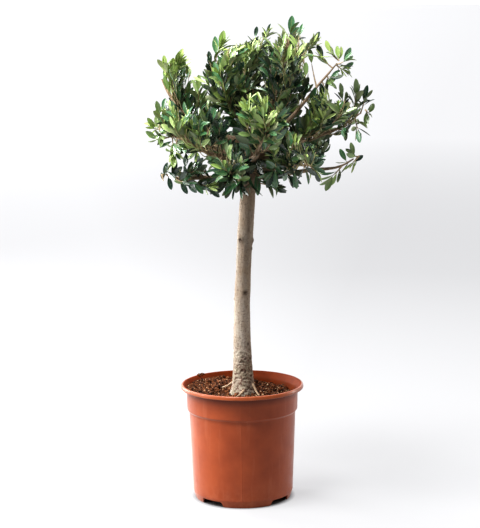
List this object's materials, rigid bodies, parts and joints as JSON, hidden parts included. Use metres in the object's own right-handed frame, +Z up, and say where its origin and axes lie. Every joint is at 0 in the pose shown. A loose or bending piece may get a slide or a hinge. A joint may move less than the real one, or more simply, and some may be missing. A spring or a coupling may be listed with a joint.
{
  "type": "potted olive standard tree",
  "caption": "Young olive grown as a standard: bare trunk with a flared foot, boughs forking into a round open head of leafy masses, in a round nursery pot with a rolled lip and drain notches.",
  "frame": {"origin": "middle of the pot's underside, on its flat centre pad at floor level", "axes": "+Z up along the pot's axis, -Y towards the front, +X to the right of someone who faces the front"},
  "size_m": [0.3483, 0.3423, 0.7422],
  "materials": {
    "pot_plastic": "semi-gloss moulded terracotta-coloured plastic",
    "potting_soil": "damp, crumbly, fibrous",
    "trunk_bark": "grey-tan young bark",
    "bough_bark": "brown-grey bark",
    "olive_foliage": "waxy green leaves, paler beneath"
  },
  "bodies": {
    "root": {"bough_back": "bough_bark", "bough_back_left": "bough_bark", "bough_back_low": "bough_bark", "bough_back_right": "bough_bark", "bough_back_top": "bough_bark", "bough_back_upper_right": "bough_bark", "bough_far_left": "bough_bark", "bough_front": "bough_bark", "bough_front_left": "bough_bark", "bough_front_low": "bough_bark", "bough_front_outer_right": "bough_bark", "bough_front_right": "bough_bark", "bough_front_top": "bough_bark", "bough_front_upper_right": "bough_bark", "bough_lower_left": "bough_bark", "bough_lower_right": "bough_bark", "bough_right": "bough_bark", "bough_top_back": "bough_bark", "bough_top_front": "bough_bark", "bough_top_left": "bough_bark", "bough_top_right": "bough_bark", "bough_upper_left": "bough_bark", "bough_upper_right": "bough_bark", "foliage_back": "olive_foliage", "foliage_back_left": "olive_foliage", "foliage_back_low": "olive_foliage", "foliage_back_right": "olive_foliage", "foliage_back_top": "olive_foliage", "foliage_back_upper_right": "olive_foliage", "foliage_far_left": "olive_foliage", "foliage_front": "olive_foliage", "foliage_front_left": "olive_foliage", "foliage_front_low": "olive_foliage", "foliage_front_outer_right": "olive_foliage", "foliage_front_right": "olive_foliage", "foliage_front_top": "olive_foliage", "foliage_front_upper_right": "olive_foliage", "foliage_heart": "olive_foliage", "foliage_lower_left": "olive_foliage", "foliage_lower_right": "olive_foliage", "foliage_right": "olive_foliage", "foliage_top_back": "olive_foliage", "foliage_top_front": "olive_foliage", "foliage_top_left": "olive_foliage", "foliage_top_right": "olive_foliage", "foliage_upper_left": "olive_foliage", "foliage_upper_right": "olive_foliage", "pot": "pot_plastic", "soil": "potting_soil", "trunk": "trunk_bark"}
  },
  "joints": []
}
